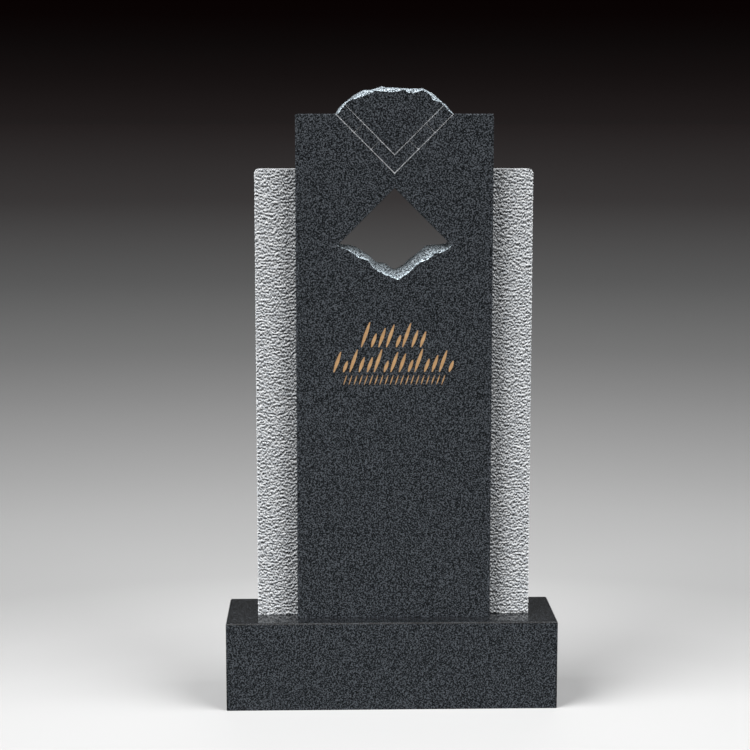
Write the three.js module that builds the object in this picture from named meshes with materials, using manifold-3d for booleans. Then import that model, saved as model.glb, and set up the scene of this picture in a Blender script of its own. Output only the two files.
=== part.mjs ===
// An upright granite headstone. A tablet with a rock-pitched crown and a pierced diamond stands
// between two tooled wings, and all three stand on a plain base.
//
// Millimetres, +Z up. X runs along the width, Y from the front (negative) to the back (positive),
// and the origin is the middle of the underside.

import * as THREE from 'three';
import { mergeVertices } from 'three/addons/utils/BufferGeometryUtils.js';
import Module from 'manifold-3d';

// Base
const BASE_WIDTH = 750;
const BASE_DEPTH = 220;
const BASE_HEIGHT = 203;
const BASE_ARRIS = 4;
const BASE_CORNER_RADIUS = 5;

// The tablet and the wings stand this far right of the base's middle
const UPRIGHTS_X = 5.5;

// Tablet: the shoulder height is measured from the base's top, the setback from its front face
const TABLET_WIDTH = 437;
const TABLET_THICKNESS = 132;
const SHOULDER_HEIGHT = 1135;
const TABLET_SETBACK = 44;
const TABLET_ARRIS = 3;
const SHOULDER_RADIUS = 4;

// Crown: a circular segment on the shoulders, its top and edges broken away by the pitching tool
const CROWN_CHORD = 259;
const CROWN_RISE = 69;
const CROWN_PITCH_DEPTH = 22;

// Pierced diamond: half of its diagonal, its centre above the base's top, and its broken lower edge
const DIAMOND_HALF = 126;
const DIAMOND_HEIGHT = 847;
const DIAMOND_ARRIS = 1.5;
const BREAK_PITCH_DEPTH = 42;

// Chevron of fine cut lines under the crown, with short cross cuts that divide its band
const BAND_WIDTH = 28.5;
const LINE_WIDTH = 2.1;
const CROSS_CUT_WIDTH = 1.6;
const GROOVE_DEPTH = 1.5;
const FIRST_CROSS_CUT = 57.5;
const SECOND_CROSS_CUT = 109.5;

// Inscription: rows of leaning strokes, sunk into the face. A stroke's ends are a share of its width,
// and the shortest stroke of a row is a share of the row's height.
const STROKE_DEPTH = 1.5;
const STROKE_LEAN = 0.34;
const STROKE_TIP = 0.3;
const STROKE_SWELL_STEP = 2.4;
const ROW_BASELINES = [619.5, 563.5, 535];
const ROW_HEIGHTS = [56.5, 52.5, 22];
const ROW_WIDTHS = [146.5, 273, 231];
const ROW_STROKES = [8, 15, 20];
const ROW_THICKNESSES = [8.5, 8.5, 3.2];
const ROW_SHORTEST = [0.48, 0.48, 1];

// Wings: the setback is measured from the tablet's front, and the same again from its back
const WING_WIDTH = 91.5;
const WING_HEIGHT = 1013.5;
const WING_SETBACK = 28;
const WING_ARRIS = 3;
const WING_CORNER_RADIUS = 8;

// Open joint between stones that touch, and how far a cutter runs past the face that it opens
const JOINT = 0.3;
const OVERRUN = 1;

// Worked out from the sizes above
const BED = BASE_HEIGHT + JOINT;
const TABLET_FRONT = -BASE_DEPTH / 2 + TABLET_SETBACK;
const TABLET_BACK = TABLET_FRONT + TABLET_THICKNESS;
const SHOULDER_Z = BED + SHOULDER_HEIGHT;
const HALF_CHORD = CROWN_CHORD / 2;
const CROWN_RADIUS = (HALF_CHORD ** 2 + CROWN_RISE ** 2) / (2 * CROWN_RISE);
const CROWN_CENTRE_Z = SHOULDER_Z + CROWN_RISE - CROWN_RADIUS;
const CROWN_HALF_ANGLE = Math.atan2(HALF_CHORD, CROWN_RADIUS - CROWN_RISE);
const DIAMOND_Z = BED + DIAMOND_HEIGHT;
const CHEVRON_Z = SHOULDER_Z - HALF_CHORD;
const EIGHTH_TURN = Math.PI / 4;

// How finely the surfaces are faceted: an arris at these shares of its radius, and no other section
// of a broken stone nearer to the face than the last share
const CROWN_COLUMNS = 52;
const BREAK_COLUMNS = 56;
const DEPTH_STEPS = 15;
const ARC_STEPS = 4;
const ARRIS_SHARES = [0, 0.3, 1];
const NEAREST_SHARE = 1.4;

// Hollows of split stone: their size, their relief, and the mean height of a hollow
const COARSE_HOLLOW = 34;
const COARSE_RELIEF = 4.2;
const FINE_HOLLOW = 13;
const FINE_RELIEF = 1.9;
const MEAN_HOLLOW = 0.2;

// Where on that pattern the diamond's break starts, over which share of the crown's and the break's
// half length the relief dies out at its ends, how sharply a pitched edge falls away, and how quickly
// the crown loses the arris that it has at its springs
const BREAK_PATTERN_START = 400;
const CROWN_CALM_END = 0.25;
const BREAK_CALM_END = 0.2;
const PITCH_SHARPNESS = 1.7;
const ARRIS_LOSS = 3;

// Blows of the pitching tool on the crown: where along the arc (a share of its half angle), how
// wide (the same share) and how deep (a share of the rise)
const CROWN_TOP_CHIPS = [
  { at: -0.55, wide: 0.3, deep: 0.035 },
  { at: -0.28, wide: 0.22, deep: 0.13 },
  { at: 0.05, wide: 0.4, deep: 0.185 },
  { at: 0.75, wide: 0.4, deep: 0.02 },
];
const CROWN_FRONT_CHIPS = [
  { at: -0.8, wide: 0.4, deep: 0.035 },
  { at: -0.42, wide: 0.33, deep: 0.2 },
  { at: -0.06, wide: 0.36, deep: 0.315 },
  { at: 0.25, wide: 0.2, deep: 0.31 },
  { at: 0.5, wide: 0.2, deep: 0.08 },
  { at: 0.64, wide: 0.1, deep: 0.16 },
  { at: 0.78, wide: 0.22, deep: 0.075 },
];
const CROWN_BACK_CHIPS = [
  { at: -0.5, wide: 0.36, deep: 0.14 },
  { at: 0.05, wide: 0.4, deep: 0.26 },
  { at: 0.55, wide: 0.3, deep: 0.15 },
];

// The broken lower edge of the diamond, as shares of its half diagonal from its centre: the ragged
// edge on the front face, the highest line of the break behind it, and the edge on the back face
const BREAK_FRONT = [
  [-1, 0], [-0.97, -0.03], [-0.78, -0.1], [-0.66, -0.2], [-0.48, -0.27], [-0.35, -0.42],
  [-0.16, -0.53], [0.05, -0.63], [0.25, -0.485], [0.42, -0.335], [0.6, -0.24], [0.73, -0.14],
  [0.8, -0.14], [0.96, -0.065], [1, 0],
];
const BREAK_RIDGE = [
  [-1, 0], [-0.98, -0.035], [-0.8, -0.05], [-0.64, -0.09], [-0.45, -0.22], [-0.3, -0.36],
  [-0.15, -0.365], [0.02, -0.49], [0.2, -0.4], [0.34, -0.26], [0.45, -0.18], [0.58, -0.06],
  [0.68, -0.05], [0.97, -0.035], [1, 0],
];
const BREAK_BACK = [
  [-1, 0], [-0.98, -0.04], [-0.7, -0.12], [-0.4, -0.32], [-0.1, -0.53], [0.1, -0.6],
  [0.45, -0.3], [0.75, -0.1], [0.98, -0.04], [1, 0],
];

// A repeatable random number from 0 to 1 for a pair of whole numbers
function scatter(i, j) {
  const value = Math.sin(i * 12.9898 + j * 78.233 + 4.7) * 43758.5453;
  return value - Math.floor(value);
}

// Shell-shaped hollows with sharp ridges between them, as split stone shows: 0 in the middle of a
// hollow, up to 1 on a ridge
function hollows(u, v, size) {
  const column = Math.floor(u / size);
  const row = Math.floor(v / size);
  let nearest = Infinity;
  for (let i = column - 1; i <= column + 1; i += 1) {
    for (let j = row - 1; j <= row + 1; j += 1) {
      const du = u / size - (i + scatter(i, j));
      const dv = v / size - (j + scatter(j + 31, i - 17));
      nearest = Math.min(nearest, du * du + dv * dv);
    }
  }
  return Math.min(nearest, 1);
}

// Height of split stone over its mean surface
function splitStone(u, v) {
  const coarse = hollows(u, v, COARSE_HOLLOW) - MEAN_HOLLOW;
  const fine = hollows(u + COARSE_HOLLOW, v, FINE_HOLLOW) - MEAN_HOLLOW;
  return COARSE_RELIEF * coarse + FINE_RELIEF * fine;
}

// 0 at and below 0, 1 at and above 1, smooth between
function ease(t) {
  const s = THREE.MathUtils.clamp(t, 0, 1);
  return s * s * (3 - 2 * s);
}

// Value at x of the straight lines through a list of points
function along(points, x) {
  const next = Math.max(1, points.findIndex(([px]) => px >= x));
  const [x0, z0] = points[next - 1];
  const [x1, z1] = points[next];
  return z0 + ((z1 - z0) * (x - x0)) / (x1 - x0);
}

// How much of a pitched edge is left at a distance behind the face: 1 on the face, 0 past the depth
function pitched(distance, depth) {
  return Math.max(0, 1 - distance / depth) ** PITCH_SHARPNESS;
}

// How far a rounded arris draws the outline in at a distance behind the face
function arrisInset(distance, radius) {
  if (distance >= radius) return 0;
  return radius - Math.sqrt(radius ** 2 - (radius - distance) ** 2);
}

// Distances behind the front face at which a plain stone's outline is drawn
function edgeStations(thickness, arris) {
  const edge = ARRIS_SHARES.map((share) => share * arris);
  return [...edge, ...edge.map((distance) => thickness - distance).reverse()];
}

// The same with more between them, closer together near both faces, for a stone that is broken
function brokenStations(thickness, arris) {
  const stations = edgeStations(thickness, arris);
  for (let i = 1; i < DEPTH_STEPS; i += 1) {
    const distance = (thickness * (1 - Math.cos((Math.PI * i) / DEPTH_STEPS))) / 2;
    const toFace = Math.min(distance, thickness - distance);
    if (toFace > NEAREST_SHARE * arris) stations.push(distance);
  }
  return stations.sort((a, b) => a - b);
}

// Points of a quarter circle that starts at an angle
function quarter(centreX, centreZ, radius, from) {
  const points = [];
  for (let i = 0; i <= ARC_STEPS; i += 1) {
    const angle = from + (Math.PI / 2) * (i / ARC_STEPS);
    points.push([centreX + radius * Math.cos(angle), centreZ + radius * Math.sin(angle)]);
  }
  return points;
}

// A closed solid through outlines that stand one behind the other. Each is a list of [x, z] that
// runs anticlockwise seen from the front, and all have the same number of points.
function loft(sections) {
  const count = sections[0].outline.length;
  const positions = sections.flatMap(({ y, outline }) => outline.flatMap(([x, z]) => [x, y, z]));
  const index = [];
  for (let s = 0; s < sections.length - 1; s += 1) {
    for (let i = 0; i < count; i += 1) {
      const a = s * count + i;
      const b = s * count + ((i + 1) % count);
      index.push(a, a + count, b + count, a, b + count, b);
    }
  }
  const last = (sections.length - 1) * count;
  cap(sections[0].outline).forEach(([a, b, c]) => index.push(a, b, c));
  cap(sections.at(-1).outline).forEach(([a, b, c]) => index.push(last + a, last + c, last + b));
  const geometry = new THREE.BufferGeometry();
  geometry.setAttribute('position', new THREE.Float32BufferAttribute(positions, 3));
  geometry.setIndex(index);
  return geometry;
}

// Triangles that fill an outline, all anticlockwise
function cap(outline) {
  const points = outline.map(([x, z]) => new THREE.Vector2(x, z));
  return THREE.ShapeUtils.triangulateShape(points, []).map(([a, b, c]) => {
    const turn = THREE.ShapeUtils.area([points[a], points[b], points[c]]);
    return turn > 0 ? [a, b, c] : [a, c, b];
  });
}

// A flat-faced solid: one outline from a front to a back
function prism(outline, front, back) {
  return loft([{ y: front, outline }, { y: back, outline }]);
}

const wasm = await Module();
wasm.setup();

function toSolid(geometry) {
  return new wasm.Manifold(new wasm.Mesh({
    numProp: 3,
    vertProperties: new Float32Array(geometry.attributes.position.array),
    triVerts: new Uint32Array(geometry.index.array),
  }));
}

function toGeometry(solid) {
  const mesh = solid.getMesh();
  const geometry = new THREE.BufferGeometry();
  geometry.setAttribute('position', new THREE.BufferAttribute(mesh.vertProperties, 3));
  geometry.setIndex(new THREE.BufferAttribute(mesh.triVerts, 1));
  return geometry;
}

// A box with a rounded arris round its sides and its top
function baseGeometry() {
  return loft(edgeStations(BASE_DEPTH, BASE_ARRIS).map((distance) => {
    const inset = arrisInset(Math.min(distance, BASE_DEPTH - distance), BASE_ARRIS);
    const radius = BASE_CORNER_RADIUS - inset;
    const half = BASE_WIDTH / 2 - inset;
    const top = BASE_HEIGHT - inset;
    return {
      y: distance - BASE_DEPTH / 2,
      outline: [
        [-half, 0],
        [half, 0],
        ...quarter(half - radius, top - radius, radius, 0),
        ...quarter(-half + radius, top - radius, radius, Math.PI / 2),
      ],
    };
  }));
}

// Deepest of the blows at a place along the arc
function chipDepth(chips, place) {
  const depths = chips.map(({ at, wide, deep }) => deep * Math.max(0, 1 - ((place - at) / wide) ** 2));
  return CROWN_RISE * Math.max(0, ...depths);
}

// Radius of the broken crown: place runs from -1 at the left spring to 1 at the right one
function crownRadius(place, distance) {
  const behind = TABLET_THICKNESS - distance;
  const top = chipDepth(CROWN_TOP_CHIPS, place);
  const front = Math.max(0, chipDepth(CROWN_FRONT_CHIPS, place) - top);
  const back = Math.max(0, chipDepth(CROWN_BACK_CHIPS, place) - top);
  const edges = front * pitched(distance, CROWN_PITCH_DEPTH) + back * pitched(behind, CROWN_PITCH_DEPTH);
  const arc = place * CROWN_HALF_ANGLE * CROWN_RADIUS;
  const rough = splitStone(arc, distance) * ease((1 - Math.abs(place)) / CROWN_CALM_END);
  return CROWN_RADIUS - top - edges + rough;
}

// The tablet's outline at a distance behind its front: no point of the crown is under the shoulders
function tabletOutline(distance) {
  const inset = arrisInset(Math.min(distance, TABLET_THICKNESS - distance), TABLET_ARRIS);
  const half = TABLET_WIDTH / 2 - inset;
  const top = SHOULDER_Z - inset;
  const radius = SHOULDER_RADIUS - inset;
  const crown = [];
  for (let i = 1; i < CROWN_COLUMNS; i += 1) {
    const place = 1 - (2 * i) / CROWN_COLUMNS;
    const angle = place * CROWN_HALF_ANGLE;
    const reach = crownRadius(place, distance) - inset * Math.abs(place) ** ARRIS_LOSS;
    crown.push([reach * Math.sin(angle), Math.max(top, CROWN_CENTRE_Z + reach * Math.cos(angle))]);
  }
  return [
    [-half, BED],
    [half, BED],
    ...quarter(half - radius, top - radius, radius, 0),
    [HALF_CHORD, top],
    ...crown,
    [-HALF_CHORD, top],
    ...quarter(-half + radius, top - radius, radius, Math.PI / 2),
  ];
}

// Height of the broken lower edge over the diamond's centre line
function breakHeight(share, distance) {
  const behind = TABLET_THICKNESS - distance;
  const ridge = along(BREAK_RIDGE, share);
  const front = (along(BREAK_FRONT, share) - ridge) * pitched(distance, BREAK_PITCH_DEPTH);
  const back = (along(BREAK_BACK, share) - ridge) * pitched(behind, BREAK_PITCH_DEPTH);
  const rough = splitStone(share * DIAMOND_HALF + BREAK_PATTERN_START, distance);
  return DIAMOND_HALF * (ridge + front + back) + rough * ease((1 - Math.abs(share)) / BREAK_CALM_END);
}

function diamondOutline(distance) {
  const flare = DIAMOND_ARRIS - Math.min(DIAMOND_ARRIS, distance, TABLET_THICKNESS - distance);
  const half = DIAMOND_HALF + flare;
  const lower = [];
  for (let i = 1; i < BREAK_COLUMNS; i += 1) {
    const share = (2 * i) / BREAK_COLUMNS - 1;
    lower.push([share * DIAMOND_HALF, DIAMOND_Z + Math.min(0, breakHeight(share, distance))]);
  }
  return [[-half, DIAMOND_Z], ...lower, [half, DIAMOND_Z], [0, DIAMOND_Z + half]];
}

function diamondCutter() {
  const inside = brokenStations(TABLET_THICKNESS, DIAMOND_ARRIS).map((distance) => ({
    y: TABLET_FRONT + distance,
    outline: diamondOutline(distance),
  }));
  const before = { y: TABLET_FRONT - OVERRUN, outline: inside[0].outline };
  const after = { y: TABLET_BACK + OVERRUN, outline: inside.at(-1).outline };
  return loft([before, ...inside, after]);
}

// A straight groove on the tablet's face, from a point, at an angle from +X
function grooveCutter([x, z], angle, length, width) {
  const bar = new THREE.BoxGeometry(length + width, 2 * GROOVE_DEPTH, width);
  bar.deleteAttribute('normal');
  bar.deleteAttribute('uv');
  return mergeVertices(bar)
    .translate(length / 2, 0, 0)
    .rotateY(-angle)
    .translate(x, TABLET_FRONT, z);
}

// The chevron: an outer and an inner line on each side, and cross cuts square to them
function chevronCutters() {
  const side = HALF_CHORD / Math.cos(EIGHTH_TURN);
  const inner = CHEVRON_Z + BAND_WIDTH / Math.cos(EIGHTH_TURN);
  const cutters = [];
  for (const hand of [-1, 1]) {
    const up = hand > 0 ? EIGHTH_TURN : 3 * EIGHTH_TURN;
    const across = up + (hand * Math.PI) / 2;
    cutters.push(grooveCutter([0, CHEVRON_Z], up, side, LINE_WIDTH));
    cutters.push(grooveCutter([0, inner], up, side, LINE_WIDTH));
    for (const fromEnd of [FIRST_CROSS_CUT, SECOND_CROSS_CUT]) {
      const reach = (side - fromEnd) * Math.cos(EIGHTH_TURN);
      const foot = [hand * reach, CHEVRON_Z + reach];
      cutters.push(grooveCutter(foot, across, BAND_WIDTH, CROSS_CUT_WIDTH));
    }
  }
  return cutters;
}

// One leaning stroke: broad in the middle, narrow at both ends
function strokeOutline(middle, low, height, thickness) {
  const left = [];
  const right = [];
  for (let i = 0; i <= ARC_STEPS; i += 1) {
    const t = i / ARC_STEPS;
    const centre = middle + STROKE_LEAN * height * (t - 0.5);
    const half = (thickness / 2) * (STROKE_TIP + (1 - STROKE_TIP) * Math.sin(Math.PI * t));
    right.push([centre + half, low + height * t]);
    left.unshift([centre - half, low + height * t]);
  }
  return [...right, ...left];
}

function inscriptionCutters() {
  const cutters = [];
  ROW_BASELINES.forEach((baseline, row) => {
    const pitch = ROW_WIDTHS[row] / ROW_STROKES[row];
    const swing = (1 - ROW_SHORTEST[row]) / 2;
    for (let i = 0; i < ROW_STROKES[row]; i += 1) {
      const middle = pitch * (i + 0.5) - ROW_WIDTHS[row] / 2;
      const swell = 1 - swing + swing * Math.cos(STROKE_SWELL_STEP * i + row);
      const height = ROW_HEIGHTS[row] * swell;
      const outline = strokeOutline(middle, BED + baseline, height, ROW_THICKNESSES[row]);
      cutters.push(prism(outline, TABLET_FRONT - OVERRUN, TABLET_FRONT + STROKE_DEPTH));
    }
  });
  return cutters;
}

function tabletGeometry() {
  const sections = brokenStations(TABLET_THICKNESS, TABLET_ARRIS).map((distance) => ({
    y: TABLET_FRONT + distance,
    outline: tabletOutline(distance),
  }));
  let tablet = toSolid(loft(sections)).subtract(toSolid(diamondCutter()));
  for (const cutter of [...chevronCutters(), ...inscriptionCutters()]) {
    tablet = tablet.subtract(toSolid(cutter));
  }
  return toGeometry(tablet);
}

// One wing: hand is -1 on the left and 1 on the right
function wingGeometry(hand) {
  const front = TABLET_FRONT + WING_SETBACK;
  const thickness = TABLET_THICKNESS - 2 * WING_SETBACK;
  const inner = TABLET_WIDTH / 2 + JOINT;
  return loft(edgeStations(thickness, WING_ARRIS).map((distance) => {
    const inset = arrisInset(Math.min(distance, thickness - distance), WING_ARRIS);
    const outer = inner + WING_WIDTH - inset;
    const top = BED + WING_HEIGHT - inset;
    const radius = WING_CORNER_RADIUS - inset;
    const outline = [
      [inner, BED],
      [outer, BED],
      ...quarter(outer - radius, top - radius, radius, 0),
      [inner, top],
    ];
    const mirrored = outline.map(([x, z]) => [-x, z]).reverse();
    return { y: front + distance, outline: hand > 0 ? outline : mirrored };
  }));
}

const granite = new THREE.MeshStandardMaterial({ color: 0x3b4044, roughness: 0.35, metalness: 0 });
const tooledStone = new THREE.MeshStandardMaterial({ color: 0xb9bdbb, roughness: 0.85, metalness: 0 });

function stone(name, geometry, material) {
  geometry.computeVertexNormals();
  const mesh = new THREE.Mesh(geometry, material);
  mesh.name = name;
  return mesh;
}

const uprights = new THREE.Group();
uprights.position.x = UPRIGHTS_X;
uprights.add(
  stone('tablet', tabletGeometry(), granite),
  stone('wing_left', wingGeometry(-1), tooledStone),
  stone('wing_right', wingGeometry(1), tooledStone),
);

const headstone = new THREE.Group();
headstone.add(stone('base', baseGeometry(), granite), uprights);

export default headstone;
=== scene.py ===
"""Looks of an upright granite headstone: a tablet with a rock-pitched crown and a pierced diamond,
two tooled wings, and a base. Metres, +Z up, seen from -Y."""

import math

import bmesh
import bpy
import numpy as np
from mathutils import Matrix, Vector, geometry, noise


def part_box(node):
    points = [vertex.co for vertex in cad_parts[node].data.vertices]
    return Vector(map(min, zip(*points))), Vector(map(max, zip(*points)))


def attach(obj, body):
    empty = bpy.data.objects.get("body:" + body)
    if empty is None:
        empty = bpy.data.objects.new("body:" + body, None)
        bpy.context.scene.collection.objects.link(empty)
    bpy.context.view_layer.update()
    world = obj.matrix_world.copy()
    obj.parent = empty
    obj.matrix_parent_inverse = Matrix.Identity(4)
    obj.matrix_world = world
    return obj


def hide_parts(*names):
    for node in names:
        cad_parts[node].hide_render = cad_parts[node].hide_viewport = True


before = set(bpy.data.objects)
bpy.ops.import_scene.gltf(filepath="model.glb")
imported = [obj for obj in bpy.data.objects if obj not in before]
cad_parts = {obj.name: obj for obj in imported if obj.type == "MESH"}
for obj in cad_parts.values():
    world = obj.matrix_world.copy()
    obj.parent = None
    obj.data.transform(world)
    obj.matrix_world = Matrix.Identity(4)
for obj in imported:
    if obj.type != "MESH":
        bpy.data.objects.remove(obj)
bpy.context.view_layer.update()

# The tablet's sizes, as the solids have them
UPRIGHTS_X = 0.0055
BED = 0.2033
SHOULDER_Z = BED + 1.135
HALF_CHORD = 0.1295
DIAMOND_HALF = 0.126
DIAMOND_Z = BED + 0.847
RECESS_DEPTH = 0.0015
INSCRIPTION_TOP = BED + 0.75
ON_FACE = 1e-5
GAP = 1e-5

# A square face's normal lies along an axis by at least this share of its length
SQUARE_ON = 0.999

# Mineral grains and the clusters that they make: their sizes, how much each sways the mix of tones
# from black to light, and a turn so that no face of the stone runs along their cells
GRAIN = 0.0018
CLUSTER = 0.0029
GRAIN_SWAY = 0.55
CLUSTER_SWAY = 2.2
GRAIN_TURN = (0.6, 0.4, 0.9)

# Tones of black, middle and light grains: dark granite honed, polished and split, the frosted lines
# sawn into it, and the tooled granite of the wings
HONED_TONES = ((0.0022, 0.0029, 0.0036), (0.023, 0.027, 0.0315), (0.108, 0.12, 0.136))
POLISHED_TONES = ((0.0003, 0.0004, 0.0005), (0.002, 0.0024, 0.0028), (0.048, 0.053, 0.06))
SPLIT_TONES = ((0.008, 0.013, 0.018), (0.2, 0.25, 0.29), (0.8, 0.92, 1.0))
FROSTED_TONES = ((0.5, 0.51, 0.52), (0.8, 0.82, 0.84), (0.97, 0.98, 1.0))
LIGHT_TONES = ((0.46, 0.49, 0.53), (0.94, 0.975, 1.0), (0.98, 0.99, 1.0))

# How far the mix runs from the middle tone to the others: less is crisper
TONE_SPREAD = 0.4
SPLIT_SPREAD = 0.24

# Reflection and roughness of the dark granite, honed and polished
HONED_LEVEL = 0.12
HONED_ROUGHNESS = 0.5
POLISHED_LEVEL = 0.5
POLISHED_ROUGHNESS = 0.12

# The base is polished where its faces point up by more than this
POLISHED_FROM = 0.05

# What a face of the tablet is, and the numbers of its materials
PLAIN, FLAT, BROKEN, LINE, STROKE = range(5)
HONED, PITCHED, SPLIT, CUT = range(4)

# Broken stone: the longest edge of its mesh, the size and height of its grains and flakes, and the
# distance from a smooth face over which it starts
BREAK_EDGE = 0.0027
GRAIN_SIZE = 0.0032
GRAIN_HEIGHT = 0.0006
FLAKE_SIZE = 0.0085
FLAKE_HEIGHT = 0.0014
FLAKE_MIDDLE = 0.35
BREAK_START = 0.006

# Tone of split stone from the middle of its thickness to its faces: pale at the faces, where the blows
# bruised it, with painted shade toward the middle; the diamond's break is painted darker than the
# crown, for the shade inside the hole
CROWN_BRUISE_AND_SHADE = ((0.0, 0.28), (0.03, 0.4), (0.045, 0.64), (0.06, 0.9))
BREAK_BRUISE_AND_SHADE = ((0.0, 0.4), (0.022, 0.36), (0.04, 0.4), (0.057, 0.54), (0.065, 1.0))

# Shade of the sawn lines by height over the chevron's outer line: duller between its two lines
LINE_SHADES = ((0.0, 1.0), (0.004, 0.5), (0.036, 1.0))

# Gilding: how far under the stone's face it lies in the strokes, and its clouded tones
GILDING_DEPTH = 0.0006
GILDING_TONES = ((0.3, (0.66, 0.385, 0.18)), (0.7, (0.84, 0.52, 0.255)))

# Wings: arris and corner radii of the solids, and the mesh's steps
WING_ARRIS = 0.003
WING_CORNER_RADIUS = 0.008
WING_ROW = 0.0012
WING_COLUMN = 0.0015
WING_SIDE_COLUMN = 0.0035
WING_ARC_STEPS = 4

# Tooled ripple: its height, the pitch of its rows, the drop over which each crest is compared with
# what lies above it, its short and long waves as (length, share), the place of the middle between
# crests and hollows, and how many rows apart the waves are drawn
RIPPLE_HEIGHT = 0.003
RIPPLE_PITCH = 0.0036
RIPPLE_STEP = 0.0037
RIPPLE_WAVES = ((0.0026, 0.72), (0.012, 0.3))
RIPPLE_MIDDLE = 0.47
RIPPLE_APART = 50

# Painted shade on the tooled face: how much darker it is painted beside the joint, where the tablet
# shades it, how far out that reaches, and how much darker its top rim is painted
PAINTED_JOINT_SHADE = 0.15
PAINTED_SHADE_REACH = 0.78
PAINTED_TOP_SHADE = 0.25

# The sawn top of a wing: its tone's depth, and how far in from its rim it starts
TOP_DEPTH = 0.55
TOP_INSET = 0.03

# Tone of the tooled face by depth, from its crests, bruised pale, to its hollows, which are darkened
# with painted shade
TOOLED_TONES_AND_SHADE = ((0.0, 1.0), (0.25, 1.0), (0.5, 0.78), (0.75, 0.36), (1.0, 0.1))

# Camera: solved on the stone's edges in the photograph
CAMERA_PLACE = (-0.1466, -4.13, 1.3295)
CAMERA_TURN = (82.0315, 0, -1.535)
CAMERA_LENS = 88.167
SENSOR = 36

# Floor: a pale pool of light painted on it, which fades with distance from its middle
FLOOR_RADIUS = 400
FLOOR_MIDDLE = (0, -1.0, 0)
FLOOR_FADE = 3.0
FLOOR_PAINTED_LIGHT = (
    (0.0, 0.59), (0.25, 0.55), (0.32, 0.53), (0.36, 0.48), (0.42, 0.36), (0.51, 0.29),
    (0.56, 0.24), (0.66, 0.15), (0.71, 0.11), (0.8, 0.061), (0.9, (0.025, 0.023, 0.023)),
    (1.0, (0.009, 0.007, 0.007)),
)

# Lights: direction that each sun comes from (turn from the front, height), width and strength
SUNS = {
    "key": (-62, 45, 42, 3.9),
    "fill": (63, 43, 46, 3.0),
    "rear": (175, 12, 50, 1.2),
}

# Tones of the room by height, from straight down (0) over the horizon (0.5) to straight up (1)
WORLD_TONES = (
    (0.0, 0.02), (0.49, 0.02), (0.5, (0.015, 0.012, 0.012)), (0.51, (0.008, 0.006, 0.006)),
    (0.52, (0.004, 0.003, 0.003)), (0.53, (0.002, 0.0004, 0.0004)), (0.56, 0.01), (0.6, 0.09),
    (0.68, 0.09), (0.75, 0.04), (1.0, 0.04),
)


class Nodes:
    """Short way to add and link a material's or the world's nodes."""

    def __init__(self, tree):
        self.tree = tree
        tree.nodes.clear()

    def add(self, kind, properties=None, **inputs):
        """A node with its properties and inputs set: an input is a value or another node's output."""
        node = self.tree.nodes.new(kind)
        for key, value in (properties or {}).items():
            setattr(node, key, value)
        for key, value in inputs.items():
            place = node.inputs[int(key[2:])] if key.startswith("in") and key[2:].isdigit() else None
            place = place or node.inputs[key.replace("_", " ")]
            if isinstance(value, bpy.types.NodeSocket):
                self.tree.links.new(value, place)
            else:
                place.default_value = value
        return node

    def ramp(self, factor, tones, interpolation="LINEAR"):
        """Colour ramp through (place, tone) pairs, where a tone is a grey or a colour."""
        node = self.add("ShaderNodeValToRGB", Fac=factor)
        node.color_ramp.interpolation = interpolation
        points = node.color_ramp.elements
        while len(points) > 1:
            points.remove(points[-1])
        for i, (place, tone) in enumerate(tones):
            point = points[0] if i == 0 else points.new(place)
            point.position = place
            colour = (tone, tone, tone) if isinstance(tone, (int, float)) else tone
            point.color = (*colour, 1)
        return node.outputs["Color"]

    def math(self, operation, *values):
        """Result of a maths node."""
        inputs = {f"in{i}": value for i, value in enumerate(values)}
        return self.add("ShaderNodeMath", {"operation": operation}, **inputs).outputs[0]

    def mix(self, factor, first, second, blend="MIX"):
        """Two colours mixed."""
        node = self.add("ShaderNodeMix", {"data_type": "RGBA", "blend_type": blend})
        for place, value in ((0, factor), (6, first), (7, second)):
            if isinstance(value, bpy.types.NodeSocket):
                self.tree.links.new(value, node.inputs[place])
            else:
                node.inputs[place].default_value = value
        return node.outputs[2]


def new_material(name):
    """An empty material and its nodes."""
    material = bpy.data.materials.new(name)
    material.use_nodes = True
    return material, Nodes(material.node_tree)


def grains(nodes, place, size):
    """A random number from 0 to 1 for each mineral grain of about a size."""
    cells = nodes.add("ShaderNodeTexVoronoi", Vector=place, Scale=1 / size)
    return nodes.add("ShaderNodeSeparateColor", Color=cells.outputs["Color"]).outputs[0]


def granite_colour(nodes, place, tones, spread=TONE_SPREAD):
    """Speckled granite: black, middle and light grains in small clusters."""
    dark, middle, light = tones
    place = nodes.add("ShaderNodeMapping", Vector=place, Rotation=GRAIN_TURN).outputs[0]
    grain = grains(nodes, place, GRAIN)
    cluster = nodes.add("ShaderNodeTexNoise", Vector=place, Scale=1 / CLUSTER, Detail=0.0).outputs[0]
    centred = 0.5 - (CLUSTER_SWAY + GRAIN_SWAY) / 2
    sway = nodes.math("MULTIPLY_ADD", grain, GRAIN_SWAY, centred)
    blend = nodes.math("MULTIPLY_ADD", cluster, CLUSTER_SWAY, sway)
    return nodes.ramp(blend, ((0.5 - spread, dark), (0.5, middle), (0.5 + spread, light)))


def honed_granite():
    """Dark blue-grey granite, honed all over."""
    return dark_granite("honed_granite", HONED_TONES, HONED_LEVEL)


def polished_granite():
    """The same granite, polished where it faces up."""
    return dark_granite("polished_granite", POLISHED_TONES, POLISHED_LEVEL, polished=True)


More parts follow.
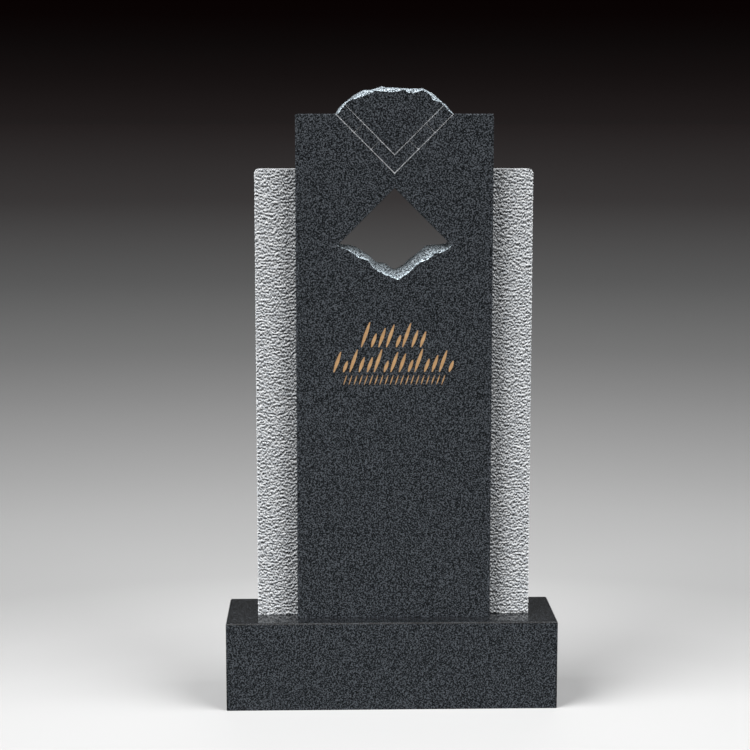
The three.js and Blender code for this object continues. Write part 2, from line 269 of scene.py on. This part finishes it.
def dark_granite(name, tones, level, polished=False):
    """Dark granite with its tones, its level of reflection and its finish."""
    material, nodes = new_material(name)
    place = nodes.add("ShaderNodeTexCoord").outputs["Object"]
    colour = granite_colour(nodes, place, tones)
    roughness = HONED_ROUGHNESS
    if polished:
        normal = nodes.add("ShaderNodeNewGeometry").outputs["Normal"]
        up = nodes.add("ShaderNodeSeparateXYZ", Vector=normal).outputs["Z"]
        roughness = nodes.ramp(up, ((0.85, HONED_ROUGHNESS), (0.95, POLISHED_ROUGHNESS)))
    relief = nodes.add("ShaderNodeTexNoise", Vector=place, Scale=260.0, Detail=2.0).outputs[0]
    bump = nodes.add("ShaderNodeBump", Strength=0.08, Distance=0.0004, Height=relief)
    shader = nodes.add("ShaderNodeBsdfPrincipled", Base_Color=colour, Roughness=roughness,
                       Specular_IOR_Level=level, Normal=bump.outputs["Normal"])
    nodes.add("ShaderNodeOutputMaterial", Surface=shader.outputs[0])
    return material


def split_granite(name, bruise_and_shade):
    """The same granite where it is split: pale, bruised crystals with dark pits, and painted shade
    toward the middle of its thickness.
    """
    material, nodes = new_material(name)
    place = nodes.add("ShaderNodeTexCoord").outputs["Object"]
    grain = granite_colour(nodes, place, SPLIT_TONES, SPLIT_SPREAD)
    through = nodes.add("ShaderNodeSeparateXYZ", Vector=place).outputs["Y"]
    shade = nodes.ramp(nodes.math("ABSOLUTE", through), bruise_and_shade)
    colour = nodes.mix(1.0, grain, shade, "MULTIPLY")
    relief = nodes.add("ShaderNodeTexNoise", Vector=place, Scale=420.0, Detail=3.0).outputs[0]
    bump = nodes.add("ShaderNodeBump", Strength=0.6, Distance=0.0008, Height=relief)
    shader = nodes.add("ShaderNodeBsdfPrincipled", Base_Color=colour, Roughness=0.75,
                       Normal=bump.outputs["Normal"])
    nodes.add("ShaderNodeOutputMaterial", Surface=shader.outputs[0])
    return material


def cut_granite():
    """The frosted floor of a sawn line, duller in the chevron's cross cuts."""
    material, nodes = new_material("cut_granite")
    place = nodes.add("ShaderNodeTexCoord").outputs["Object"]
    frost = granite_colour(nodes, place, FROSTED_TONES)
    split = nodes.add("ShaderNodeSeparateXYZ", Vector=place).outputs
    across = nodes.math("ABSOLUTE", nodes.math("SUBTRACT", split["X"], UPRIGHTS_X))
    above = nodes.math("SUBTRACT", nodes.math("SUBTRACT", split["Z"], SHOULDER_Z - HALF_CHORD), across)
    shade = nodes.ramp(above, LINE_SHADES, "CONSTANT")
    colour = nodes.mix(1.0, frost, shade, "MULTIPLY")
    shader = nodes.add("ShaderNodeBsdfPrincipled", Base_Color=colour, Roughness=0.85)
    nodes.add("ShaderNodeOutputMaterial", Surface=shader.outputs[0])
    return material


def tooled_granite():
    """Light grey granite: pale on the bruised crests of the tooling, with painted shade dark in its
    hollows.
    """
    material, nodes = new_material("tooled_granite")
    place = nodes.add("ShaderNodeTexCoord").outputs["Object"]
    # The depth attribute holds the tooling's hollows and the painted shade beside the joint and over
    # the top rim
    depth = nodes.add("ShaderNodeAttribute", {"attribute_name": "depth"}).outputs["Fac"]
    tone = nodes.ramp(depth, TOOLED_TONES_AND_SHADE)
    grain = granite_colour(nodes, place, LIGHT_TONES)
    colour = nodes.mix(1.0, tone, grain, "MULTIPLY")
    relief = nodes.add("ShaderNodeTexNoise", Vector=place, Scale=500.0, Detail=2.0).outputs[0]
    bump = nodes.add("ShaderNodeBump", Strength=0.3, Distance=0.0005, Height=relief)
    shader = nodes.add("ShaderNodeBsdfPrincipled", Base_Color=colour, Roughness=0.8,
                       Normal=bump.outputs["Normal"])
    nodes.add("ShaderNodeOutputMaterial", Surface=shader.outputs[0])
    return material


def gilding():
    """Matt gold leaf."""
    material, nodes = new_material("gilding")
    place = nodes.add("ShaderNodeTexCoord").outputs["Object"]
    cloud = nodes.add("ShaderNodeTexNoise", Vector=place, Scale=90.0, Detail=2.0).outputs[0]
    colour = nodes.ramp(cloud, GILDING_TONES)
    shader = nodes.add("ShaderNodeBsdfPrincipled", Base_Color=colour, Metallic=0.3, Roughness=0.5)
    nodes.add("ShaderNodeOutputMaterial", Surface=shader.outputs[0])
    return material


def floor_material():
    """Plain pale floor with a painted pool of light that fades with distance."""
    material, nodes = new_material("floor")
    place = nodes.add("ShaderNodeNewGeometry").outputs["Position"]
    reach = nodes.add("ShaderNodeVectorMath", {"operation": "DISTANCE"}, in0=place, in1=FLOOR_MIDDLE)
    distance = reach.outputs["Value"]
    share = nodes.math("DIVIDE", distance, nodes.math("ADD", distance, FLOOR_FADE))
    shader = nodes.add("ShaderNodeBsdfDiffuse", Color=nodes.ramp(share, FLOOR_PAINTED_LIGHT))
    nodes.add("ShaderNodeOutputMaterial", Surface=shader.outputs[0])
    return material


def add_piece(name, mesh, materials, slot, *nodes):
    """A visible piece that rides on the one body and stands for CAD nodes; its slot is not used."""
    piece = bpy.data.objects.new(name, mesh)
    bpy.context.scene.collection.objects.link(piece)
    for material in materials:
        mesh.materials.append(material)
    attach(piece, "root")
    if nodes:
        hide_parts(*nodes)
    return piece


def mesh_from(name, points, faces, finish=None, smooth=None):
    """A mesh of points and faces: the number of each face's material, and which are smooth."""
    mesh = bpy.data.meshes.new(name)
    mesh.from_pydata([tuple(p) for p in points], [], [tuple(int(i) for i in f) for f in faces])
    if finish is not None:
        mesh.polygons.foreach_set("material_index", [int(v) for v in finish])
    if smooth is not None:
        mesh.polygons.foreach_set("use_smooth", [bool(v) for v in smooth])
    mesh.validate()
    return mesh


def solid_triangles(node):
    """A CAD node's points, each once, and its triangles."""
    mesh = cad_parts[node].data
    points = np.array([v.co[:] for v in mesh.vertices])
    triangles = np.array([p.vertices[:] for p in mesh.polygons])
    _, first, number = np.unique(np.round(points, 7), axis=0, return_index=True, return_inverse=True)
    triangles = number.ravel()[triangles]
    a, b, c = triangles.T
    return points[first], triangles[(a != b) & (b != c) & (c != a)]


def face_normals(points, triangles):
    """Each triangle's normal, as long as twice its area."""
    a, b, c = (points[triangles[:, i]] for i in range(3))
    return np.cross(b - a, c - a)


def ease(t):
    """0 at and below 0, 1 at and above 1, smooth between."""
    s = min(max(t, 0.0), 1.0)
    return s * s * (3 - 2 * s)


def edge_keys(triangles, count):
    """For each triangle's three edges, one number that both of an edge's triangles share."""
    ends = np.sort(np.stack([triangles, np.roll(triangles, -1, axis=1)], axis=2), axis=2)
    return ends[..., 0] * count + ends[..., 1]


def refine(points, triangles, labels):
    """Splits the long edges of the broken triangles until none is left."""
    while True:
        count = len(points)
        keys, number = np.unique(edge_keys(triangles, count), return_inverse=True)
        number = number.reshape(triangles.shape)
        first, second = points[keys // count], points[keys % count]
        broken = np.zeros(len(keys), bool)
        broken[number[labels == BROKEN].ravel()] = True
        split = broken & (np.linalg.norm(first - second, axis=1) > BREAK_EDGE)
        if not split.any():
            return points, triangles, labels
        middle = np.full(len(keys), -1)
        middle[split] = count + np.arange(split.sum())
        points = np.concatenate([points, (first + second)[split] / 2])
        triangles, labels = split_triangles(points, triangles, labels, middle[number])


def split_triangles(points, triangles, labels, middles):
    """New triangles for those with a middle point on 0, 1, 2 or 3 of their edges."""
    marked = (middles >= 0).sum(1)
    turn = np.zeros(len(triangles), int)
    turn[marked == 1] = np.argmax(middles[marked == 1] >= 0, axis=1)
    turn[marked == 2] = np.argmax(middles[marked == 2] < 0, axis=1) + 1
    order = (np.arange(3) + turn[:, None]) % 3
    corners = np.take_along_axis(triangles, order, 1)
    middles = np.take_along_axis(middles, order, 1)
    made, kept = [], []

    def add(which, *corner_lists):
        made.append(np.stack(corner_lists, axis=1))
        kept.append(labels[which])

    none, one, two, three = (np.flatnonzero(marked == n) for n in range(4))
    add(none, *corners[none].T)
    a, b, c = corners[one].T
    m = middles[one, 0]
    add(one, a, m, c)
    add(one, m, b, c)
    a, b, c = corners[two].T
    m, n, _ = middles[two].T
    add(two, m, b, n)
    swap = np.linalg.norm(points[a] - points[n], axis=1) > np.linalg.norm(points[m] - points[c], axis=1)
    add(two, a, m, np.where(swap, c, n))
    add(two, np.where(swap, m, a), n, c)
    a, b, c = corners[three].T
    m, n, o = middles[three].T
    for trio in ((a, m, o), (m, b, n), (o, n, c), (m, n, o)):
        add(three, *trio)
    return np.concatenate(made), np.concatenate(kept)


def tablet_labels(points, triangles, low, high):
    """What each triangle of the tablet is: flat, broken, a sunk line, a stroke or plain."""
    normals = face_normals(points, triangles)
    normals /= np.maximum(np.linalg.norm(normals, axis=1, keepdims=True), 1e-15)
    corner_y = points[triangles][:, :, 1]
    middle = points[triangles].mean(1)
    across = abs(middle[:, 0] - UPRIGHTS_X)
    floor_y = low.y + RECESS_DEPTH
    floor = (abs(corner_y - floor_y) < ON_FACE).all(1) & (normals[:, 1] < -SQUARE_ON)
    keys = edge_keys(triangles, len(points))
    beside = np.isin(keys, keys[floor]).any(1)
    recess = floor | (beside & (corner_y.min(1) < floor_y - ON_FACE))
    crown = (middle[:, 2] > SHOULDER_Z + ON_FACE) & (across < HALF_CHORD)
    lower = (middle[:, 2] < DIAMOND_Z) & (middle[:, 2] > DIAMOND_Z - DIAMOND_HALF)
    labels = np.full(len(triangles), PLAIN)
    labels[crown | (lower & (across < DIAMOND_HALF + RECESS_DEPTH))] = BROKEN
    labels[recess] = LINE
    labels[recess & (middle[:, 2] < INSCRIPTION_TOP)] = STROKE
    for y in (low.y, high.y):
        labels[(abs(corner_y - y) < ON_FACE).all(1)] = FLAT
    return labels, floor


def broken_relief(point):
    """Height of grains and flakes over the solid's own broken surface."""
    flake = noise.voronoi(point / FLAKE_SIZE)[0][0] - FLAKE_MIDDLE
    grain = noise.noise(point / GRAIN_SIZE)
    return FLAKE_HEIGHT * flake + GRAIN_HEIGHT * grain


def start_of_break(point):
    """0 where the crown springs and where the diamond's walls start, 1 away from them."""
    across = abs(point.x - UPRIGHTS_X)
    if point.z > SHOULDER_Z - ON_FACE:
        return ease((HALF_CHORD - across) / BREAK_START)
    return ease((DIAMOND_HALF - across) / BREAK_START)


def roughen(points, triangles, labels, low, high):
    """Moves the broken points along their normals: those on a face stay in its plane."""
    broken = triangles[labels == BROKEN]
    normals = np.zeros_like(points)
    spread = np.repeat(face_normals(points, broken), 3, axis=0)
    np.add.at(normals, broken.ravel(), spread)
    on_face = np.minimum(abs(points[:, 1] - low.y), abs(points[:, 1] - high.y)) < ON_FACE
    normals[on_face, 1] = 0
    normals /= np.maximum(np.linalg.norm(normals, axis=1, keepdims=True), 1e-15)
    moved = points.copy()
    for i in np.unique(broken):
        point = Vector(points[i])
        moved[i] += normals[i] * broken_relief(point) * start_of_break(point)
    return moved


def inside(places, starts, ends):
    """Which places have an odd number of the lines from starts to ends on their right."""
    crossings = np.zeros(len(places), int)
    for (ax, ay), (bx, by) in zip(starts, ends):
        if ay == by:
            continue
        level = (ay > places[:, 1]) != (by > places[:, 1])
        crossings += level & (places[:, 0] < ax + (places[:, 1] - ay) * (bx - ax) / (by - ay))
    return crossings % 2 == 1


def flat_fill(points, triangles, y, facing):
    """Triangles that fill the plane at y inside the open edges that the others leave there."""
    count = len(points)
    keys, uses = np.unique(edge_keys(triangles, count), return_counts=True)
    rim = np.stack([keys // count, keys % count], axis=1)[uses == 1]
    rim = rim[(abs(points[rim][:, :, 1] - y) < ON_FACE).all(1)]
    corners, lines = np.unique(rim, return_inverse=True)
    lines = lines.reshape(rim.shape)
    places = points[corners][:, [0, 2]]
    flat = [Vector(place) for place in places]
    found = geometry.delaunay_2d_cdt(flat, lines.tolist(), [], 0, 1e-9)
    made = np.array(found[2])
    made = made[inside(places[made].mean(1), places[lines[:, 0]], places[lines[:, 1]])]
    a, b, c = (places[made[:, i]] for i in range(3))
    turn = (b[:, 0] - a[:, 0]) * (c[:, 1] - a[:, 1]) - (b[:, 1] - a[:, 1]) * (c[:, 0] - a[:, 0])
    made[turn * facing < 0] = made[turn * facing < 0][:, ::-1]
    return corners[made]


def make_tablet(materials, gold):
    """The tablet: the solid with finely broken edges, frosted lines and gilded strokes."""
    low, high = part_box("tablet")
    points, triangles = solid_triangles("tablet")
    labels, floor = tablet_labels(points, triangles, low, high)
    make_gilding(points, triangles[floor & (labels == STROKE)], gold)
    triangles, labels = triangles[labels != FLAT], labels[labels != FLAT]
    points, triangles, labels = refine(points, triangles, labels)
    points = roughen(points, triangles, labels, low, high)
    flats = [flat_fill(points, triangles, low.y, 1), flat_fill(points, triangles, high.y, -1)]
    triangles = np.concatenate([triangles, *flats])
    labels = np.concatenate([labels, np.full(sum(len(f) for f in flats), FLAT)])
    crown = points[triangles].mean(1)[:, 2] > SHOULDER_Z
    broken = labels == BROKEN
    # The diamond's split faces take the copy painted darker, for the shade inside the hole
    finish = np.select([broken & crown, broken, labels == LINE], [PITCHED, SPLIT, CUT], HONED)
    mesh = mesh_from("tablet_stone", points, triangles, finish)
    add_piece("tablet_stone", mesh, materials, "dark_granite", "tablet")


def make_gilding(points, floors, gold):
    """Thin closed slabs of gilding on the floors of the strokes."""
    used, number = np.unique(floors, return_inverse=True)
    number = number.reshape(floors.shape)
    back = points[used] - (0, GAP, 0)
    front = points[used] - (0, RECESS_DEPTH - GILDING_DEPTH, 0)
    count = len(used)
    keys = edge_keys(number, count)
    seen, uses = np.unique(keys, return_counts=True)
    rim = np.isin(keys, seen[uses == 1])
    starts = number[rim]
    ends = np.roll(number, -1, axis=1)[rim]
    walls = np.stack([starts, starts + count, ends + count, ends], axis=1)
    faces = (number + count).tolist() + number[:, ::-1].tolist() + walls[:, ::-1].tolist()
    mesh = mesh_from("gilding", np.concatenate([back, front]), faces)
    add_piece("gilding", mesh, (gold,), "gilding")


def make_base(honed, polished):
    """The base: the solid's form with smooth arrises and a polished top."""
    points, triangles = solid_triangles("base")
    normals = face_normals(points, triangles)
    normals /= np.linalg.norm(normals, axis=1, keepdims=True)
    smooth = abs(normals).max(1) < SQUARE_ON
    mesh = mesh_from("base_stone", points, triangles, normals[:, 2] > POLISHED_FROM, smooth)
    add_piece("base_stone", mesh, (honed, polished), "dark_granite", "base")


def spaced(low, high, step):
    """Evenly spaced places from low to high, no further apart than a step."""
    count = max(1, math.ceil((high - low) / step))
    return [low + (high - low) * i / count for i in range(count + 1)]


def arc_drop(radius, rise):
    """How far a quarter round has drawn in at a rise above its start."""
    return radius - math.sqrt(max(0.0, radius ** 2 - max(0.0, rise) ** 2))


def ripple(point):
    """Depth of the tooling under the face: 0 on a crest, 1 in a hollow."""
    wave = 0.0
    for length, share in RIPPLE_WAVES:
        row = point.z / RIPPLE_PITCH + RIPPLE_APART * share
        place = Vector((point.x / length, point.y / length, row))
        step = Vector((0, 0, RIPPLE_STEP / RIPPLE_PITCH))
        wave += share * (noise.noise(place) - noise.noise(place + step))
    return min(max(RIPPLE_MIDDLE - wave, 0.0), 1.0)


def wing_outline(inner, outer, front, back):
    """A wing's cross section as (x, y, outward x, outward y), for a wing on the right."""
    side = outer - WING_ARRIS
    points = [(x, front, 0, -1) for x in spaced(inner, side, WING_COLUMN)]
    for corner, start in ((front + WING_ARRIS, -90), (back - WING_ARRIS, 0)):
        for i in range(1, WING_ARC_STEPS):
            turn = math.radians(start + 90 * i / WING_ARC_STEPS)
            nx, ny = math.cos(turn), math.sin(turn)
            points.append((side + WING_ARRIS * nx, corner + WING_ARRIS * ny, nx, ny))
        if start == -90:
            depths = spaced(front + WING_ARRIS, back - WING_ARRIS, WING_SIDE_COLUMN)
            points += [(outer, y, 1, 0) for y in depths]
    points += [(x, back, 0, 1) for x in reversed(spaced(inner, side, WING_SIDE_COLUMN))]
    return points


def wing_heights(foot, corner):
    """Heights of a wing's rings: even up to its rounded corner, then closer along the arc."""
    heights = spaced(foot, corner, WING_ROW)
    steps = 2 * WING_ARC_STEPS
    for i in range(1, steps + 1):
        heights.append(corner + WING_CORNER_RADIUS * math.sin(math.pi / 2 * i / steps))
    return heights


def wing_ring(bm, depths, low, high, hand, z):
    """A ring of points at a height, drawn in round the top's edges and cut back by the tooling."""
    inner, outer = (low.x, high.x) if hand > 0 else (-high.x, -low.x)
    middle, half = (low.y + high.y) / 2, (high.y - low.y) / 2
    rounding = arc_drop(WING_CORNER_RADIUS, z - (high.z - WING_CORNER_RADIUS))
    inset = arc_drop(WING_ARRIS, z - (high.z - WING_ARRIS))
    fade = ease((high.z - z) / WING_ARRIS)
    ring = []
    for x, y, nx, ny in wing_outline(inner, outer, low.y, high.y):
        share = (x - inner) / (outer - inner)
        x -= rounding * share
        y += inset * (middle - y) / half
        hollow = ripple(Vector((x * hand, y, z)))
        depth = RIPPLE_HEIGHT * hollow * fade
        point = bm.verts.new(((x - nx * depth) * hand, y - ny * depth, z))
        # Tone depth: the tooling's hollow, plus painted shade beside the joint and over the top rim
        point[depths] = hollow + PAINTED_JOINT_SHADE * ease(1 - share / PAINTED_SHADE_REACH) + PAINTED_TOP_SHADE * (1 - fade)
        ring.append(point)
    return ring


def join_rings(bm, lower, upper):
    """A band of faces between two rings."""
    for i in range(len(lower)):
        j = (i + 1) % len(lower)
        bm.faces.new((lower[i], lower[j], upper[j], upper[i]))


def cap_wing(bm, depths, rim, middle):
    """A wing's sawn top: a narrow band inside its rim, then one face in an even tone."""
    top = []
    for point in rim:
        place = Vector((point.co.x, point.co.y, middle.z))
        point = bm.verts.new(place + TOP_INSET * (middle - place))
        point[depths] = TOP_DEPTH
        top.append(point)
    join_rings(bm, rim, top)
    bm.faces.new(top)


def make_wing(node, hand, tooled):
    """A wing: rippled on its front, outer side and back, plain on its joint, top and bed."""
    low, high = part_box(node)
    bm = bmesh.new()
    depths = bm.verts.layers.float.new("depth")
    heights = wing_heights(low.z, high.z - WING_CORNER_RADIUS)
    rings = [wing_ring(bm, depths, low, high, hand, z) for z in heights]
    for lower, upper in zip(rings, rings[1:]):
        join_rings(bm, lower, upper)
    bm.faces.new(rings[0])
    middle = Vector(((low.x + high.x) / 2, (low.y + high.y) / 2, high.z))
    cap_wing(bm, depths, rings[-1], middle)
    bmesh.ops.recalc_face_normals(bm, faces=bm.faces)
    for face in bm.faces:
        face.smooth = len(face.verts) == 4
    mesh = bpy.data.meshes.new(node + "_stone")
    bm.to_mesh(mesh)
    bm.free()
    add_piece(node + "_stone", mesh, (tooled,), "tooled_granite", node)


def make_floor():
    """The floor, which isn't part of the object."""
    bm = bmesh.new()
    bmesh.ops.create_circle(bm, cap_ends=True, segments=96, radius=FLOOR_RADIUS)
    mesh = bpy.data.meshes.new("floor")
    bm.to_mesh(mesh)
    bm.free()
    floor = bpy.data.objects.new("floor", mesh)
    bpy.context.scene.collection.objects.link(floor)
    mesh.materials.append(floor_material())
    floor.visible_diffuse = False


def make_suns():
    """Broad suns from both sides of the front, and a low one behind."""
    for name, (turn, height, width, strength) in SUNS.items():
        sun = bpy.data.lights.new(name, "SUN")
        sun.angle = math.radians(width)
        sun.energy = strength
        lamp = bpy.data.objects.new(name, sun)
        lamp.rotation_euler = (math.radians(90 - height), 0, math.radians(turn))
        lamp.visible_glossy = name != "rear"
        bpy.context.scene.collection.objects.link(lamp)


def make_room():
    """A dark room with a soft glow low on its walls."""
    world = bpy.data.worlds.new("room")
    bpy.context.scene.world = world
    world.use_nodes = True
    nodes = Nodes(world.node_tree)
    direction = nodes.add("ShaderNodeTexCoord").outputs["Generated"]
    up = nodes.add("ShaderNodeSeparateXYZ", Vector=direction).outputs["Z"]
    up = nodes.math("MULTIPLY_ADD", up, 0.5, 0.5)
    glow = nodes.add("ShaderNodeBackground", Color=nodes.ramp(up, WORLD_TONES), Strength=1.0)
    nodes.add("ShaderNodeOutputWorld", Surface=glow.outputs[0])


def make_camera():
    """The photograph's view."""
    camera = bpy.data.objects.new("camera", bpy.data.cameras.new("camera"))
    camera.location = CAMERA_PLACE
    camera.rotation_euler = [math.radians(turn) for turn in CAMERA_TURN]
    camera.data.lens = CAMERA_LENS
    camera.data.sensor_width = SENSOR
    camera.data.clip_end = 2 * FLOOR_RADIUS
    bpy.context.scene.collection.objects.link(camera)
    bpy.context.scene.camera = camera
    bpy.context.scene.view_settings.view_transform = "Standard"


def main():
    """Builds the pieces, the stage, the lights and the camera."""
    make_camera()
    make_floor()
    make_suns()
    make_room()
    honed = honed_granite()
    tooled = tooled_granite()
    make_base(honed, polished_granite())
    crown = split_granite("pitched_granite", CROWN_BRUISE_AND_SHADE)
    broken = split_granite("broken_granite", BREAK_BRUISE_AND_SHADE)
    make_tablet((honed, crown, broken, cut_granite()), gilding())
    make_wing("wing_left", -1, tooled)
    make_wing("wing_right", 1, tooled)


main()
